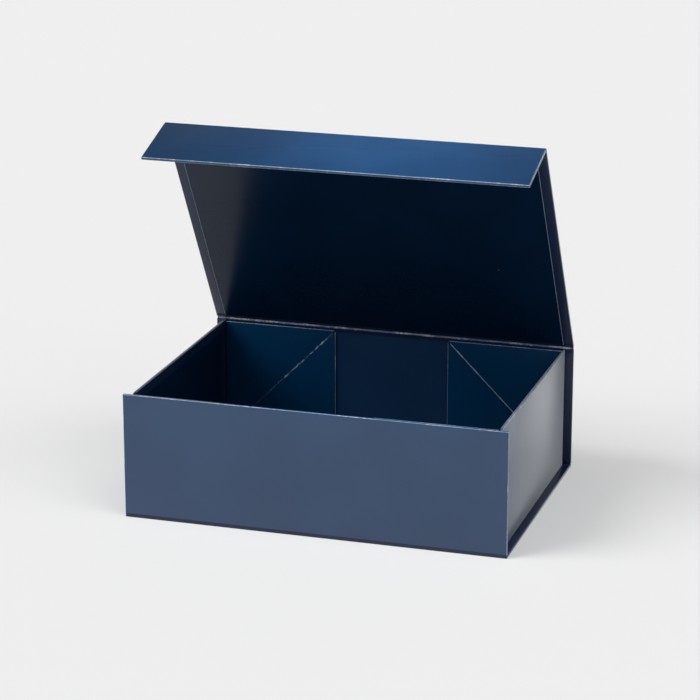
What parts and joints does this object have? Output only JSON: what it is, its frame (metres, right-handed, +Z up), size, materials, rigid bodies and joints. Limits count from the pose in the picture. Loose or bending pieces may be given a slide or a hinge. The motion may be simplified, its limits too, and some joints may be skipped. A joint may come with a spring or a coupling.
{
  "type": "collapsible magnetic gift box",
  "caption": "Fold-flat rigid gift box of paper-wrapped board, with a hinged lid, a magnetic closing flap and creased corner gussets.",
  "frame": {"origin": "middle of the base's underside, on the surface the box stands on", "axes": "+X to the right seen from the front, +Y to the back where the lid hinges, +Z up"},
  "size_m": [0.33, 0.234, 0.3151],
  "materials": {
    "wrap_paper": "satin laminated navy paper",
    "lining_paper": "satin laminated dark navy paper",
    "greyboard": "uncoated grey board",
    "magnet": "nickel plated"
  },
  "bodies": {
    "base": {"base_board": "greyboard", "base_wrap": "wrap_paper", "base_lining": "lining_paper"},
    "spine": {"spine_board": "greyboard", "spine_wrap": "wrap_paper", "spine_lining": "lining_paper", "gusset_back_left_fixed_board": "greyboard", "gusset_back_left_fixed_cover": "wrap_paper", "gusset_back_right_fixed_board": "greyboard", "gusset_back_right_fixed_cover": "wrap_paper"},
    "front_wall": {"front_wall_board": "greyboard", "front_wall_wrap": "wrap_paper", "front_wall_lining": "lining_paper", "front_wall_magnet_left": "magnet", "front_wall_magnet_right": "magnet", "gusset_front_left_fixed_board": "greyboard", "gusset_front_left_fixed_cover": "wrap_paper", "gusset_front_right_fixed_board": "greyboard", "gusset_front_right_fixed_cover": "wrap_paper"},
    "left_wall": {"left_wall_board": "greyboard", "left_wall_wrap": "wrap_paper", "left_wall_lining": "lining_paper"},
    "right_wall": {"right_wall_board": "greyboard", "right_wall_wrap": "wrap_paper", "right_wall_lining": "lining_paper"},
    "lid": {"lid_board": "greyboard", "lid_wrap": "wrap_paper", "lid_lining": "lining_paper"},
    "flap": {"flap_board": "greyboard", "flap_wrap": "wrap_paper", "flap_lining": "lining_paper", "flap_magnet_left": "magnet", "flap_magnet_right": "magnet"},
    "gusset_back_left": {"gusset_back_left_fold_board": "greyboard", "gusset_back_left_fold_cover": "wrap_paper", "gusset_back_left_fold_backing": "lining_paper"},
    "gusset_back_right": {"gusset_back_right_fold_board": "greyboard", "gusset_back_right_fold_cover": "wrap_paper", "gusset_back_right_fold_backing": "lining_paper"},
    "gusset_front_left": {"gusset_front_left_fold_board": "greyboard", "gusset_front_left_fold_cover": "wrap_paper", "gusset_front_left_fold_backing": "lining_paper"},
    "gusset_front_right": {"gusset_front_right_fold_board": "greyboard", "gusset_front_right_fold_cover": "wrap_paper", "gusset_front_right_fold_backing": "lining_paper"}
  },
  "joints": [
    {"name": "box_fold", "type": "hinge", "parent": "base", "child": "spine", "pos_m": [0, 0.117, 0], "axis": [-1, 0, 0], "range_deg": [0, 90]},
    {"name": "front_fold", "type": "hinge", "parent": "base", "child": "front_wall", "pos_m": [0, -0.117, 0], "axis": [1, 0, 0], "range_deg": [0, 90]},
    {"name": "left_wall_fold", "type": "hinge", "parent": "base", "child": "left_wall", "pos_m": [-0.156, 0, 0.0028], "axis": [0, 1, 0], "range_deg": [0, 90]},
    {"name": "right_wall_fold", "type": "hinge", "parent": "base", "child": "right_wall", "pos_m": [0.156, 0, 0.0028], "axis": [0, -1, 0], "range_deg": [0, 90]},
    {"name": "gusset_back_left_fold", "type": "hinge", "parent": "spine", "child": "gusset_back_left", "pos_m": [-0.1556, 0.11255, 0.0031], "axis": [0.7071, 0, 0.7071], "range_deg": [0, 180]},
    {"name": "gusset_back_right_fold", "type": "hinge", "parent": "spine", "child": "gusset_back_right", "pos_m": [0.1556, 0.11255, 0.0031], "axis": [0.7071, 0, -0.7071], "range_deg": [0, 180]},
    {"name": "gusset_front_left_fold", "type": "hinge", "parent": "front_wall", "child": "gusset_front_left", "pos_m": [-0.1556, -0.11255, 0.0031], "axis": [-0.7071, 0, -0.7071], "range_deg": [0, 180]},
    {"name": "gusset_front_right_fold", "type": "hinge", "parent": "front_wall", "child": "gusset_front_right", "pos_m": [0.1556, -0.11255, 0.0031], "axis": [-0.7071, 0, 0.7071], "range_deg": [0, 180]},
    {"name": "lid_hinge", "type": "hinge", "parent": "spine", "child": "lid", "pos_m": [0, 0.117, 0.111], "axis": [1, 0, 0], "range_deg": [-121.15, 58.85]},
    {"name": "flap_hinge", "type": "hinge", "parent": "lid", "child": "flap", "pos_m": [0, -0.00642, 0.3152], "axis": [1, 0, 0], "range_deg": [-76.05, 13.95]}
  ],
  "couplings": [
    {"joint": "front_fold", "follows": "box_fold", "ratio": 1},
    {"joint": "left_wall_fold", "follows": "box_fold", "ratio": 1},
    {"joint": "right_wall_fold", "follows": "box_fold", "ratio": 1},
    {"joint": "gusset_back_left_fold", "follows": "box_fold", "ratio": 2},
    {"joint": "gusset_back_right_fold", "follows": "box_fold", "ratio": 2},
    {"joint": "gusset_front_left_fold", "follows": "box_fold", "ratio": 2},
    {"joint": "gusset_front_right_fold", "follows": "box_fold", "ratio": 2}
  ]
}
